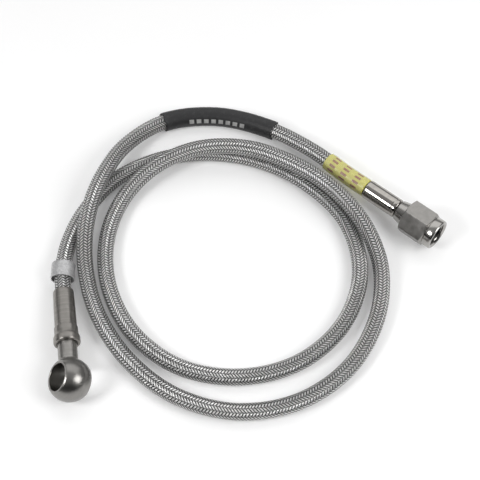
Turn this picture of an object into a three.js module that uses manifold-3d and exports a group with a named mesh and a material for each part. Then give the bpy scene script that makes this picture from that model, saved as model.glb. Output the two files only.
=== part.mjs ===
// A braided brake hose with a banjo eye on one end and a female swivel nut on the other. It lies in a
// loose coil on a flat surface. Millimetres, +Z up; the origin is on that surface, under the middle.
import * as THREE from 'three';
import { mergeVertices } from 'three/addons/utils/BufferGeometryUtils.js';
import Module from 'manifold-3d';

const wasm = await Module();
wasm.setup();

// Gap between pieces that seat on each other.
const FIT = 0.25;
// Sides of the turned pieces, and of the tubes that follow the hose.
const TURNED_SIDES = 36;
const HOSE_SIDES = 12;
const LINER_SIDES = 8;
const WRAP_SIDES = 16;
const HOSE_STEPS = 76;
const WRAP_STEP = 8;

// The hose: a wire braid over a plastic liner.
const HOSE_DIAMETER = 6.3;
const BRAID_THICKNESS = 0.6;
const LINER_BORE = 3.2;
const HOSE_RADIUS = HOSE_DIAMETER / 2;
const LINER_RADIUS = HOSE_RADIUS - BRAID_THICKNESS - FIT;

// The banjo eye, a ball with two sealing faces.
const EYE_DIAMETER = 16.1;
const EYE_WIDTH = 11;
const EYE_BORE = 10.2;
const EYE_CHAMFER = 0.2;
const EYE_TILT = 41;
const NECK_DIAMETER = 7.2;
// How far a cutting form runs past what it cuts, and the core that fills its middle.
const CUT_PAST = 1;
const CORE_RADIUS = 0.6;
const CUT_OVERLAP = 0.1;

// The fluid way through both fittings, and the barbed tails in the liner.
const FLUID_BORE = 1.5;
const TAIL_LENGTH = 13;
const BARBS = 3;
const BARB_DEPTH = 0.12;
const TAIL_RADIUS = LINER_BORE / 2 - FIT - BARB_DEPTH;

// Both crimp collars.
const COLLAR_BORE_RADIUS = HOSE_RADIUS + FIT;
const COUNTERBORE_DEPTH = 0.9;
const COLLAR_LIP = 1.3;
const SHOULDER_STEP = 0.75;
// The rounded edges of a collar: how deep and how long the cut is, at its end and half way.
const EDGE_DEPTH = 0.6;
const EDGE_LENGTH = 0.7;
const EDGE_MID_DEPTH = 0.15;
const EDGE_MID_LENGTH = 0.25;
// How far from the lip the pressed length begins, and where the slope to it turns.
const CRIMP_RUN = 1.2;
const CRIMP_TURN = 0.5;
// The small chamfer on a turned end.
const END_CHAMFER = 0.3;
// How far the hose runs straight inside a collar and past its mouth.
const STRAIGHT_INSIDE = 9;
const STRAIGHT_OUTSIDE = 0.5;

// The collar on the banjo end, measured from the centre of the ball.
const BANJO_COLLAR_START = 14.6;
const BANJO_COLLAR_LENGTH = 22.9;
const BANJO_LIP_DIAMETER = 9.9;
const BANJO_LIP_LENGTH = 3.3;
const BANJO_STEP_DIAMETER = 8.8;
const BANJO_STEP_END = 7.2;
const CRIMP_DIAMETER = 8.4;
const CRIMP_END_DIAMETER = 7.8;
const CRIMP_FLATS = 8;
const CRIMP_FLAT_WIDTH = 8.1;

// The collar on the nut end.
const NUT_COLLAR_LENGTH = 15.2;
const NUT_COLLAR_DIAMETER = 7.8;
const STEM_NECK_DIAMETER = 5.6;

// The swivel nut, from its rear to its mouth.
const NUT_GAP = 0.3;
const SHOULDER_LENGTH = 3.9;
const SHOULDER_REAR_DIAMETER = 8.2;
const SHOULDER_FRONT_DIAMETER = 9.8;
const HEX_LENGTH = 10.9;
const HEX_WIDTH = 12.7;
const HEX_CHAMFER = 30;
const NOSE_LENGTH = 3.6;
const NOSE_DIAMETER = 12.2;
const THREAD_DIAMETER = 9.2;
const MOUTH_CHAMFER = 0.6;
const REAR_WALL = 5.3;
const HEX_FACE_INSET = 0.2;
const NOSE_CHAMFER = 0.45;
const HEAD_THICKNESS = 2.4;
const HEAD_CONE_LENGTH = 2.6;
const CONE_TIP_WALL = 1.1;
const CONE_TIP_CHAMFER = 0.4;
const NUT_ROLL = 8.5;

// The loose tag, the black sleeve and the label, with their places along the hose.
const TAG_DIAMETER = 9;
const TAG_WALL = 0.4;
const TAG_LENGTH = 6.3;
const TAG_GAP = 8.5;
const SLEEVE_GAP = 46;
const SLEEVE_LENGTH = 47.8;
const SLEEVE_WALL = 0.35;
const SLEEVE_CLEARANCE = 0.4;
const LABEL_LENGTH = 19.8;
const LABEL_THICKNESS = 0.2;

// Where the two fittings lie, and which way they point along the hose (degrees: heading, rise).
const BALL_CENTRE = new THREE.Vector3(-64.8, -54.4, EYE_DIAMETER / 2);
const BANJO_HEADING = 98.5;
const BANJO_RISE = -4.8;
const NUT_COLLAR_END = new THREE.Vector3(46.53, 26.97, 6.535);
const NUT_HEADING = -40.4;
const NUT_RISE = 2.5;

// The way the hose lies between its two fittings, banjo end first.
const LAY = [
  [-71.1, -9.0, 4.8],
  [-69.9, 4.0, 3.9],
  [-64.8, 18.3, 3.3],
  [-53.5, 33.3, 3.15],
  [-35.1, 43.2, 3.15],
  [-14.4, 45.7, 3.15],
  [6.1, 41.3, 3.15],
  [24.0, 30.5, 3.15],
  [37.9, 13.7, 3.15],
  [42.2, -8.6, 3.15],
  [34.8, -30.1, 3.15],
  [18.0, -45.5, 3.15],
  [-4.0, -51.3, 3.15],
  [-26.4, -47.1, 3.15],
  [-44.2, -32.9, 3.15],
  [-54.1, -12.3, 3.2],
  [-55.0, 8.5, 3.3],
  [-48.5, 26.2, 4.2],
  [-36.4, 37.3, 7.9],
  [-19.9, 44.0, 9.8],
  [-0.1, 44.0, 9.9],
  [18.3, 36.3, 9.9],
  [31.9, 26.1, 9.8],
  [40.6, 15.7, 9.2],
  [46.9, 4.2, 7.1],
  [50.2, -9.0, 4.3],
  [47.5, -27.7, 3.3],
  [36.2, -47.5, 3.15],
  [17.6, -60.7, 3.15],
  [-4.9, -64.6, 3.15],
  [-27.0, -58.6, 3.15],
  [-44.9, -44.5, 3.15],
  [-57.0, -26.2, 3.3],
  [-62.4, -9.1, 3.9],
  [-63.4, 5.5, 7.2],
  [-61.2, 20.1, 9.7],
  [-56.7, 33.9, 9.3],
  [-49.4, 48.4, 6.0],
  [-34.6, 60.6, 4.1],
  [-13.6, 63.3, 4.05],
  [7.4, 57.5, 4.1],
  [25.4, 45.9, 5.2],
];

const STEEL = new THREE.MeshStandardMaterial({ color: 0x8f8d8a, roughness: 0.32, metalness: 1 });
const COLLAR_STEEL = new THREE.MeshStandardMaterial({ color: 0x96948f, roughness: 0.38, metalness: 1 });
const BRAID_WIRE = new THREE.MeshStandardMaterial({ color: 0xb4b3b0, roughness: 0.3, metalness: 1 });
const LINER_PLASTIC = new THREE.MeshStandardMaterial({ color: 0xe8e6df, roughness: 0.5, metalness: 0 });
const TAG_METAL = new THREE.MeshStandardMaterial({ color: 0xb9b8b8, roughness: 0.6, metalness: 0.7 });
const BLACK_SHRINK = new THREE.MeshStandardMaterial({ color: 0x2b2b2c, roughness: 0.6, metalness: 0 });
const YELLOW_FILM = new THREE.MeshStandardMaterial({ color: 0xc8c35a, roughness: 0.5, metalness: 0 });
const CLEAR_SHRINK = new THREE.MeshStandardMaterial({
  color: 0xe9e7cf,
  roughness: 0.25,
  metalness: 0,
  transparent: true,
  opacity: 0.25,
});

const radians = THREE.MathUtils.degToRad;

// A unit vector from its heading around Z and its rise above level.
function heading(turn, rise) {
  const level = Math.cos(radians(rise));
  return new THREE.Vector3(
    level * Math.cos(radians(turn)),
    level * Math.sin(radians(turn)),
    Math.sin(radians(rise)),
  );
}

// A group whose Y runs along a direction and whose Z is as near to up as it can be.
function frameAlong(origin, direction) {
  const up = new THREE.Vector3(0, 0, 1);
  const across = new THREE.Vector3().crossVectors(direction, up).normalize();
  up.crossVectors(across, direction);
  const frame = new THREE.Group();
  frame.quaternion.setFromRotationMatrix(new THREE.Matrix4().makeBasis(across, direction, up));
  frame.position.copy(origin);
  return frame;
}

// A closed mesh as a solid that can be joined and cut.
function solidOf(geometry) {
  const bare = geometry.clone();
  bare.deleteAttribute('normal');
  bare.deleteAttribute('uv');
  const merged = mergeVertices(bare, 1e-5);
  return new wasm.Manifold(new wasm.Mesh({
    numProp: 3,
    vertProperties: new Float32Array(merged.attributes.position.array),
    triVerts: new Uint32Array(merged.index.array),
  }));
}

function geometryOf(solid) {
  const mesh = solid.getMesh();
  const geometry = new THREE.BufferGeometry();
  geometry.setAttribute('position', new THREE.BufferAttribute(new Float32Array(mesh.vertProperties), 3));
  geometry.setIndex(new THREE.BufferAttribute(new Uint32Array(mesh.triVerts), 1));
  return geometry;
}

// A ring turned about Y from its closed section: [radius, height] pairs, up the outside and down the bore.
function turned(section, sides = TURNED_SIDES) {
  const points = [...section, section[0]].map(([radius, height]) => new THREE.Vector2(radius, height));
  return new THREE.LatheGeometry(points, sides);
}

// A round bar along Y between two heights.
function bar(radius, from, to, sides = TURNED_SIDES) {
  return new THREE.CylinderGeometry(radius, radius, to - from, sides).translate(0, (from + to) / 2, 0);
}

// A hollow round section, as the outline of an extrusion.
function ringSection(outer, inner, sides) {
  const circle = (radius) => Array.from({ length: sides }, (_, i) => {
    const angle = (i / sides) * 2 * Math.PI;
    return new THREE.Vector2(radius * Math.cos(angle), radius * Math.sin(angle));
  });
  const section = new THREE.Shape(circle(outer));
  section.holes.push(new THREE.Path(circle(inner).reverse()));
  return section;
}

// The piece of another curve between two lengths along it.
class Stretch extends THREE.Curve {
  constructor(whole, from, to) {
    super();
    this.whole = whole;
    this.from = from / whole.getLength();
    this.to = to / whole.getLength();
  }

  getPoint(t, target = new THREE.Vector3()) {
    return this.whole.getPointAt(this.from + (this.to - this.from) * t, target);
  }
}

// A tube of round section along a curve, with plain open ends.
function tubeAlong(curve, outer, inner, sides, steps) {
  return new THREE.ExtrudeGeometry(ringSection(outer, inner, sides), {
    steps,
    extrudePath: curve,
    curveSegments: 1,
    bevelEnabled: false,
  });
}

// The section of a barbed tail: its outside, from the fitting's face toward the open end of the bore.
function tailOutside(face, sign) {
  const pitch = TAIL_LENGTH / (BARBS + 1);
  const outside = [[TAIL_RADIUS, face]];
  for (let i = 0; i < BARBS; i += 1) {
    const start = face + sign * pitch * (i + 1);
    outside.push([TAIL_RADIUS, start - sign * pitch * 0.3]);
    outside.push([TAIL_RADIUS + BARB_DEPTH, start]);
    outside.push([TAIL_RADIUS, start + sign * pitch * 0.5]);
  }
  outside.push([TAIL_RADIUS, face + sign * TAIL_LENGTH]);
  return outside;
}

// Heights along the banjo's own axis, from the centre of the ball toward the hose.
const banjoShoulder = BANJO_COLLAR_START + COUNTERBORE_DEPTH - FIT;
const banjoLipStart = BANJO_COLLAR_START + COUNTERBORE_DEPTH;
const banjoLipEnd = banjoLipStart + COLLAR_LIP;
const banjoHoseEnd = banjoLipEnd + FIT;
const banjoCollarEnd = BANJO_COLLAR_START + BANJO_COLLAR_LENGTH;
const banjoSpigotRadius = NECK_DIAMETER / 2 - SHOULDER_STEP;

// Heights along the nut's axis, from the hose end of its collar toward the mouth.
const nutHoseEnd = NUT_COLLAR_LENGTH - COUNTERBORE_DEPTH - COLLAR_LIP - FIT;
const nutLipEnd = NUT_COLLAR_LENGTH - COUNTERBORE_DEPTH;
const nutRear = NUT_COLLAR_LENGTH + NUT_GAP;
const hexRear = nutRear + SHOULDER_LENGTH;
const hexFront = hexRear + HEX_LENGTH;
const nutMouth = hexFront + NOSE_LENGTH;
const nutSeat = nutRear + REAR_WALL;
const stemNeckRadius = STEM_NECK_DIAMETER / 2;
const stemSpigotRadius = stemNeckRadius - SHOULDER_STEP / 2;
const threadRadius = THREAD_DIAMETER / 2;

// One turned piece: the ball with its cross bore, the neck, the spigot in the collar and the tail.
function banjoFitting() {
  const ball = new THREE.SphereGeometry(EYE_DIAMETER / 2, 40, 20).rotateZ(Math.PI / 2);
  const slab = new THREE.BoxGeometry(EYE_WIDTH, EYE_DIAMETER * 2, EYE_DIAMETER * 2);
  const neck = turned([
    [FLUID_BORE / 4, 0],
    [NECK_DIAMETER / 2, 0],
    [NECK_DIAMETER / 2, banjoShoulder - END_CHAMFER],
    [NECK_DIAMETER / 2 - END_CHAMFER, banjoShoulder],
    [banjoSpigotRadius, banjoShoulder],
    [banjoSpigotRadius, banjoLipEnd],
    ...tailOutside(banjoLipEnd, 1),
    [FLUID_BORE / 4, banjoLipEnd + TAIL_LENGTH],
  ]);
  const boreRadius = EYE_BORE / 2;
  const face = EYE_WIDTH / 2;
  const past = face + CUT_PAST;
  const flared = boreRadius + EYE_CHAMFER + CUT_PAST;
  const bore = turned([
    [CORE_RADIUS - CUT_OVERLAP, -past],
    [flared, -past],
    [boreRadius, -face + EYE_CHAMFER],
    [boreRadius, face - EYE_CHAMFER],
    [flared, past],
    [CORE_RADIUS - CUT_OVERLAP, past],
  ]).rotateZ(Math.PI / 2);
  const core = bar(CORE_RADIUS, -past, past).rotateZ(Math.PI / 2);
  const drilling = bar(FLUID_BORE / 2, 0, banjoLipEnd + TAIL_LENGTH + 1, 16);
  const tilt = radians(EYE_TILT);
  const eye = solidOf(ball)
    .intersect(solidOf(slab))
    .add(solidOf(neck))
    .subtract(solidOf(bore))
    .subtract(solidOf(core))
    .subtract(solidOf(drilling));
  return geometryOf(eye).rotateY(tilt);
}

// The banjo's crimp collar: a round uncrimped lip, a lower step behind it, and then a slightly
// tapered length pressed into flats.
function banjoCollar() {
  const lip = BANJO_LIP_DIAMETER / 2;
  const crimp = CRIMP_DIAMETER / 2;
  const crimpEnd = CRIMP_END_DIAMETER / 2;
  const step = BANJO_STEP_DIAMETER / 2;
  const lipBack = BANJO_COLLAR_START + BANJO_LIP_LENGTH;
  const flatStart = BANJO_COLLAR_START + BANJO_STEP_END;
  const collar = turned([
    [NECK_DIAMETER / 2 + FIT, BANJO_COLLAR_START],
    [lip - EDGE_DEPTH, BANJO_COLLAR_START],
    [lip - EDGE_MID_DEPTH, BANJO_COLLAR_START + EDGE_MID_LENGTH],
    [lip, BANJO_COLLAR_START + EDGE_LENGTH],
    [lip, lipBack - EDGE_LENGTH],
    [step + EDGE_MID_DEPTH, lipBack + CRIMP_TURN],
    [step, lipBack + CRIMP_RUN],
    [step, flatStart - CRIMP_TURN],
    [crimp, flatStart],
    [crimpEnd, banjoCollarEnd - EDGE_LENGTH],
    [crimpEnd - END_CHAMFER, banjoCollarEnd],
    [COLLAR_BORE_RADIUS, banjoCollarEnd],
    [COLLAR_BORE_RADIUS, banjoLipEnd],
    [banjoSpigotRadius + FIT, banjoLipEnd],
    [banjoSpigotRadius + FIT, banjoLipStart],
    [NECK_DIAMETER / 2 + FIT, banjoLipStart],
  ]);
  const cornerRadius = CRIMP_FLAT_WIDTH / 2 / Math.cos(Math.PI / CRIMP_FLATS);
  const flats = bar(cornerRadius, flatStart, banjoCollarEnd + 1, CRIMP_FLATS);
  const round = bar(lip + 1, BANJO_COLLAR_START - 1, flatStart);
  return geometryOf(solidOf(collar).intersect(solidOf(flats).add(solidOf(round))));
}

// The nut end's crimp collar: smooth and round, with a rolled edge toward the nut.
function nutCollar() {
  const outer = NUT_COLLAR_DIAMETER / 2;
  return turned([
    [COLLAR_BORE_RADIUS, 0],
    [outer - EDGE_MID_DEPTH, 0],
    [outer, END_CHAMFER],
    [outer, NUT_COLLAR_LENGTH - EDGE_LENGTH],
    [outer - EDGE_MID_DEPTH, NUT_COLLAR_LENGTH - EDGE_MID_LENGTH],
    [outer - EDGE_DEPTH, NUT_COLLAR_LENGTH],
    [stemNeckRadius + FIT, NUT_COLLAR_LENGTH],
    [stemNeckRadius + FIT, nutLipEnd],
    [stemSpigotRadius + FIT, nutLipEnd],
    [stemSpigotRadius + FIT, nutLipEnd - COLLAR_LIP],
    [COLLAR_BORE_RADIUS, nutLipEnd - COLLAR_LIP],
  ]);
}

// The stem that holds the nut: a barbed tail, a neck, and a head with a cone seat inside the nut.
function nutStem() {
  const seat = nutSeat + FIT;
  const head = threadRadius - FIT * 2;
  const tail = nutLipEnd - COLLAR_LIP;
  const bore = FLUID_BORE / 2;
  const lead = seat + HEAD_THICKNESS + HEAD_CONE_LENGTH;
  return turned([
    [bore, tail - TAIL_LENGTH],
    ...tailOutside(tail, -1).reverse(),
    [stemSpigotRadius, tail],
    [stemSpigotRadius, nutLipEnd + FIT],
    [stemNeckRadius, nutLipEnd + FIT],
    [stemNeckRadius, seat],
    [head, seat],
    [head, seat + HEAD_THICKNESS],
    [bore + CONE_TIP_WALL, lead],
    [bore + CONE_TIP_CHAMFER, lead],
    [bore, lead - CONE_TIP_CHAMFER],
  ]);
}

// The swivel nut: a tapered rear shoulder, a chamfered hexagon, a round nose and the open threaded bore.
function swivelNut() {
  const corner = HEX_WIDTH / 2 / Math.cos(Math.PI / 6);
  const chamfer = (corner - HEX_WIDTH / 2 + HEX_FACE_INSET) * Math.tan(radians(HEX_CHAMFER));
  const nose = NOSE_DIAMETER / 2;
  const bore = stemNeckRadius + FIT;
  const body = turned([
    [bore, nutRear],
    [SHOULDER_REAR_DIAMETER / 2 - END_CHAMFER, nutRear],
    [SHOULDER_REAR_DIAMETER / 2, nutRear + END_CHAMFER],
    [SHOULDER_FRONT_DIAMETER / 2, hexRear],
    [HEX_WIDTH / 2 - HEX_FACE_INSET, hexRear],
    [corner, hexRear + chamfer],
    [corner, hexFront - chamfer],
    [HEX_WIDTH / 2 - HEX_FACE_INSET, hexFront],
    [nose, hexFront],
    [nose, nutMouth - NOSE_CHAMFER],
    [nose - NOSE_CHAMFER, nutMouth],
    [threadRadius + MOUTH_CHAMFER, nutMouth],
    [threadRadius, nutMouth - MOUTH_CHAMFER],
    [threadRadius, nutSeat],
    [bore, nutSeat],
  ], 48);
  const hexagon = bar(corner, hexRear, hexFront, 6).rotateY(radians(NUT_ROLL));
  // Both round ends run into the hexagon, so the three are one solid wherever the nut stands.
  const sleeve = bar(nose + 0.001, hexFront - CUT_OVERLAP, nutMouth + CUT_PAST, 48);
  const shoulder = bar(SHOULDER_FRONT_DIAMETER / 2 + 0.001, nutRear - CUT_PAST, hexRear + CUT_OVERLAP, 48);
  const envelope = solidOf(hexagon).add(solidOf(sleeve)).add(solidOf(shoulder));
  return geometryOf(solidOf(body).intersect(envelope));
}

function idTag() {
  const outer = TAG_DIAMETER / 2;
  const half = TAG_LENGTH / 2;
  return turned([
    [outer - TAG_WALL, -half],
    [outer - 0.1, -half],
    [outer, -half + 0.1],
    [outer, half - 0.1],
    [outer - 0.1, half],
    [outer - TAG_WALL, half],
  ]);
}

// A point on a fitting's axis, at a height in its own frame.
function along(origin, direction, height) {
  return origin.clone().addScaledVector(direction, height);
}

const banjoDirection = heading(BANJO_HEADING, BANJO_RISE);
const nutDirection = heading(NUT_HEADING, NUT_RISE);

const hoseRoute = new THREE.CatmullRomCurve3([
  along(BALL_CENTRE, banjoDirection, banjoHoseEnd),
  along(BALL_CENTRE, banjoDirection, banjoCollarEnd - STRAIGHT_INSIDE),
  along(BALL_CENTRE, banjoDirection, banjoCollarEnd + STRAIGHT_OUTSIDE),
  ...LAY.map(([x, y, z]) => new THREE.Vector3(x, y, z)),
  along(NUT_COLLAR_END, nutDirection, -STRAIGHT_INSIDE),
  along(NUT_COLLAR_END, nutDirection, -STRAIGHT_OUTSIDE),
  along(NUT_COLLAR_END, nutDirection, nutHoseEnd),
], false, 'centripetal');
hoseRoute.arcLengthDivisions = 2000;
const hoseLength = hoseRoute.getLength();

const part = new THREE.Group();

function add(parent, name, geometry, material) {
  const mesh = new THREE.Mesh(geometry, material);
  mesh.name = name;
  parent.add(mesh);
  return mesh;
}

const banjo = frameAlong(BALL_CENTRE, banjoDirection);
add(banjo, 'banjo_fitting', banjoFitting(), STEEL);
add(banjo, 'banjo_ferrule', banjoCollar(), COLLAR_STEEL);
part.add(banjo);

const nutEnd = frameAlong(NUT_COLLAR_END, nutDirection);
add(nutEnd, 'nut_ferrule', nutCollar(), COLLAR_STEEL);
add(nutEnd, 'nut_stem', nutStem(), STEEL);
add(nutEnd, 'swivel_nut', swivelNut(), STEEL);
part.add(nutEnd);

add(
  part,
  'braid_cover',
  tubeAlong(hoseRoute, HOSE_RADIUS, HOSE_RADIUS - BRAID_THICKNESS, HOSE_SIDES, HOSE_STEPS),
  BRAID_WIRE,
);
add(
  part,
  'hose_liner',
  tubeAlong(hoseRoute, LINER_RADIUS, LINER_BORE / 2, LINER_SIDES, HOSE_STEPS),
  LINER_PLASTIC,
);

// The tag lies on the surface with the hose through it.
const tagAt = banjoCollarEnd - banjoHoseEnd + TAG_GAP;
const tagPlace = hoseRoute.getPointAt(tagAt / hoseLength).setZ(TAG_DIAMETER / 2);
const tagDirection = hoseRoute.getTangentAt(tagAt / hoseLength).setZ(0).normalize();
const tag = frameAlong(tagPlace, tagDirection);
add(tag, 'id_tag', idTag(), TAG_METAL);
part.add(tag);

// The label ends at the nut's collar, and the sleeve lies a gap before that.
const labelEnd = hoseLength - nutHoseEnd - FIT;
const sleeveEnd = labelEnd - SLEEVE_GAP;
const sleeveBore = HOSE_RADIUS + SLEEVE_CLEARANCE;
add(
  part,
  'black_sleeve',
  tubeAlong(
    new Stretch(hoseRoute, sleeveEnd - SLEEVE_LENGTH, sleeveEnd),
    sleeveBore + SLEEVE_WALL,
    sleeveBore,
    WRAP_SIDES,
    Math.round(SLEEVE_LENGTH / WRAP_STEP),
  ),
  BLACK_SHRINK,
);

const label = new Stretch(hoseRoute, labelEnd - LABEL_LENGTH, labelEnd);
const labelSteps = Math.round(LABEL_LENGTH / WRAP_STEP);
const labelBore = HOSE_RADIUS + FIT;
const wrapBore = labelBore + LABEL_THICKNESS + FIT * 0.7;
add(
  part,
  'label_band',
  tubeAlong(label, labelBore + LABEL_THICKNESS, labelBore, WRAP_SIDES, labelSteps),
  YELLOW_FILM,
);
add(
  part,
  'label_cover',
  tubeAlong(label, wrapBore + LABEL_THICKNESS, wrapBore, WRAP_SIDES, labelSteps),
  CLEAR_SHRINK,
);

export default part;
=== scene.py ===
"""A steel-braided brake hose lying in a loose coil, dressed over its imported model.

The braid, the turned fittings, the sleeve and the label are surfaces worked out
with numpy over a grid of two parameters. Lengths in the constants are millimetres.
"""

import math

import bpy
import numpy as np
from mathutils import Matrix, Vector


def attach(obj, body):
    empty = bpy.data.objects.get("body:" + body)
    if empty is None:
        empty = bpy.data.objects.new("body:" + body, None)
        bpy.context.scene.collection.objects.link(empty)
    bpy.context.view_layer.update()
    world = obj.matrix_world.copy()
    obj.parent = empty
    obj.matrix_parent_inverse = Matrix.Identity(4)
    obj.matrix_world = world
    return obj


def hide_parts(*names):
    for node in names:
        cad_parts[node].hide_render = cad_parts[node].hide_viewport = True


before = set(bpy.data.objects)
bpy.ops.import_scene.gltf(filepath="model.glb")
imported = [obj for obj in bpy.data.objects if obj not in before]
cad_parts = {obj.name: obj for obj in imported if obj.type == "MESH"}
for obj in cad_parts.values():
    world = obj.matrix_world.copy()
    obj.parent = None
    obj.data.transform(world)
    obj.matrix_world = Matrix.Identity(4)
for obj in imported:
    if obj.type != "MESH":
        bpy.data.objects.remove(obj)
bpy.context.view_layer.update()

bl_info = {
    "name": "Braided brake hose",
    "version": (1, 0, 0),
    "blender": (4, 5, 0),
    "location": "View3D > Sidebar > Brake Hose",
    "description": "Builds a braided brake hose with a banjo eye and a swivel nut",
    "category": "Object",
}

MM = 0.001
TURN = 2 * math.pi
UP = np.array([0.0, 0.0, 1.0])

# Where the two fittings lie, and which way they point along the hose.
BALL_CENTRE = np.array([-64.8, -54.4, 8.05])
BANJO_HEADING = 98.5
BANJO_RISE = -4.8
NUT_COLLAR_END = np.array([46.53, 26.97, 6.535])
NUT_HEADING = -40.4
NUT_RISE = 2.5

# The way the hose lies between its two fittings, banjo end first, and the steps drawn from
# each of these points to the next.
SPAN_STEPS = 160
LAY = [
    (-71.1, -9.0, 4.8),
    (-69.9, 4.0, 3.9),
    (-64.8, 18.3, 3.3),
    (-53.5, 33.3, 3.15),
    (-35.1, 43.2, 3.15),
    (-14.4, 45.7, 3.15),
    (6.1, 41.3, 3.15),
    (24.0, 30.5, 3.15),
    (37.9, 13.7, 3.15),
    (42.2, -8.6, 3.15),
    (34.8, -30.1, 3.15),
    (18.0, -45.5, 3.15),
    (-4.0, -51.3, 3.15),
    (-26.4, -47.1, 3.15),
    (-44.2, -32.9, 3.15),
    (-54.1, -12.3, 3.2),
    (-55.0, 8.5, 3.3),
    (-48.5, 26.2, 4.2),
    (-36.4, 37.3, 7.9),
    (-19.9, 44.0, 9.8),
    (-0.1, 44.0, 9.9),
    (18.3, 36.3, 9.9),
    (31.9, 26.1, 9.8),
    (40.6, 15.7, 9.2),
    (46.9, 4.2, 7.1),
    (50.2, -9.0, 4.3),
    (47.5, -27.7, 3.3),
    (36.2, -47.5, 3.15),
    (17.6, -60.7, 3.15),
    (-4.9, -64.6, 3.15),
    (-27.0, -58.6, 3.15),
    (-44.9, -44.5, 3.15),
    (-57.0, -26.2, 3.3),
    (-62.4, -9.1, 3.9),
    (-63.4, 5.5, 7.2),
    (-61.2, 20.1, 9.7),
    (-56.7, 33.9, 9.3),
    (-49.4, 48.4, 6.0),
    (-34.6, 60.6, 4.1),
    (-13.6, 63.3, 4.05),
    (7.4, 57.5, 4.1),
    (25.4, 45.9, 5.2),
]

# The hose: liner inside, wire braid outside. A bundle is one carrier's flat band of wires,
# drawn over a few grid steps each way. Its crest is a height from none to one: a power of a
# half sine wave across it, and one value at the edge of its column.
HOSE_DIAMETER = 6.3
BRAID_THICKNESS = 0.6
HOSE_STEPS = 76
WIRES_A_BUNDLE = 5
STEPS_ROUND = 2
STEPS_ACROSS = 4
EDGE_CREST = 0.66
DOME_POWER = 0.4
FIT = 0.25

# Corners of a section are cut by a curve of a few steps, over a share of the side at most.
CORNER_STEPS = 4
CORNER_SHARE = 0.45

# What both crimped collars share: the depth of the step over the fitting, and the lip behind it.
COUNTERBORE_DEPTH = 0.9
COLLAR_LIP = 1.3
COLLAR_CLEARANCE = 0.05
STRAIGHT_INSIDE = 9
STRAIGHT_OUTSIDE = 0.5

# The banjo end, heights from the centre of its ball.
EYE_DIAMETER = 16.1
EYE_WIDTH = 11
EYE_BORE = 10.2
EYE_CHAMFER = 0.15
EYE_RIM = 0.12
EYE_TILT = 41
EYE_STEPS = 48
EYE_COLUMNS = 96
NECK_DIAMETER = 7.2
NECK_FILLET = 0.7
NECK_CHAMFER = 0.2
NECK_ROOT = 0.3
NECK_COLUMNS = 72
FILLET_STEPS = 12
FLUID_BORE = 1.5
DRILL_SIDES = 24
BANJO_COLLAR_START = 14.6
BANJO_COLLAR_END = BANJO_COLLAR_START + 22.9
BANJO_LIP_START = BANJO_COLLAR_START + COUNTERBORE_DEPTH
BANJO_SHOULDER = BANJO_LIP_START - FIT
BANJO_LIP_END = BANJO_LIP_START + COLLAR_LIP
BANJO_HOSE_END = BANJO_LIP_END + FIT
BANJO_COLLAR_COLUMNS = 128
BANJO_LIP_DIAMETER = 9.9
BANJO_LIP_LENGTH = 3.3
BANJO_STEP_DIAMETER = 8.8
BANJO_STEP_END = 7.2
CRIMP_DIAMETER = 8.4
CRIMP_END_DIAMETER = 7.8
CRIMP_FLATS = 8
CRIMP_FLAT_WIDTH = 8.1
PRESS_START = 0.3
PRESS_EASE = 0.8
SPIGOT_DIAMETER = 5.7
TAIL_DIAMETER = 2.46
TAIL_LENGTH = 13

# The nut end, heights from the hose end of its collar.
NUT_COLLAR_LENGTH = 15.2
NUT_COLLAR_DIAMETER = 7.8
NUT_COLLAR_COLUMNS = 96
NUT_LIP_END = NUT_COLLAR_LENGTH - COUNTERBORE_DEPTH
NUT_LIP_START = NUT_LIP_END - COLLAR_LIP
NUT_HOSE_END = NUT_LIP_START - FIT
NUT_REAR = NUT_COLLAR_LENGTH + 0.3
NUT_SEAT = NUT_REAR + 5.3
HEX_REAR = NUT_REAR + 3.9
HEX_FRONT = HEX_REAR + 10.9
NUT_MOUTH = HEX_FRONT + 3.6
SHOULDER_REAR_DIAMETER = 8.2
SHOULDER_FRONT_DIAMETER = 9.8
HEX_WIDTH = 12.7
HEX_CHAMFER = 30
CORNER_WEAR = 0.996
NUT_COLUMNS = 144
NOSE_DIAMETER = 12.2
THREAD_DIAMETER = 9.2
THREAD_PITCH = 1.0
THREAD_DEPTH = 0.45
THREAD_LEAD = 0.4
THREAD_RUNOUT = 0.6
STEPS_A_PITCH = 10
TOOTH_SLOPE = 1.25
TOOTH_ROOT = 0.12
MOUTH_CHAMFER = 0.6
STEM_NECK_DIAMETER = 5.6
STEM_SPIGOT_DIAMETER = 4.85
HEAD_THICKNESS = 2.4
HEAD_CONE_LENGTH = 2.6
CONE_TIP_WALL = 1.1
CONE_TIP_CHAMFER = 0.4
STEM_COLUMNS = 72
NUT_ROLL = 8.5

# The loose tag, the black sleeve and the label, by their lengths along the hose.
TAG_PLACE = BANJO_COLLAR_END - BANJO_HOSE_END + 8.5
TAG_DIAMETER = 9
TAG_WALL = 0.4
TAG_LENGTH = 6.3
TAG_COLUMNS = 96
SLEEVE_GAP = 46
SLEEVE_LENGTH = 47.8
SLEEVE_DIAMETER = 7.8
SLEEVE_WALL = 0.35
SLEEVE_ROWS = 260
LABEL_LENGTH = 19.8
LABEL_INNER_RADIUS = HOSE_DIAMETER / 2 + FIT
LABEL_THICKNESS = 0.2
LABEL_ROWS = 60
COVER_INNER_RADIUS = 3.775
WRAP_COLUMNS = 72

# How the ends of a shrunk wrap wander: the size, the count and the phase of each sine wave
# round the hose, the rows over which its lumps die away, and how much thinner its end is.
EDGE_WAVES = ((0.55, 3, 0.7), (0.3, 7, 2.1), (0.15, 13, 0.0))
EASE_ROWS = 4
END_THINNING = 0.05

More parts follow.
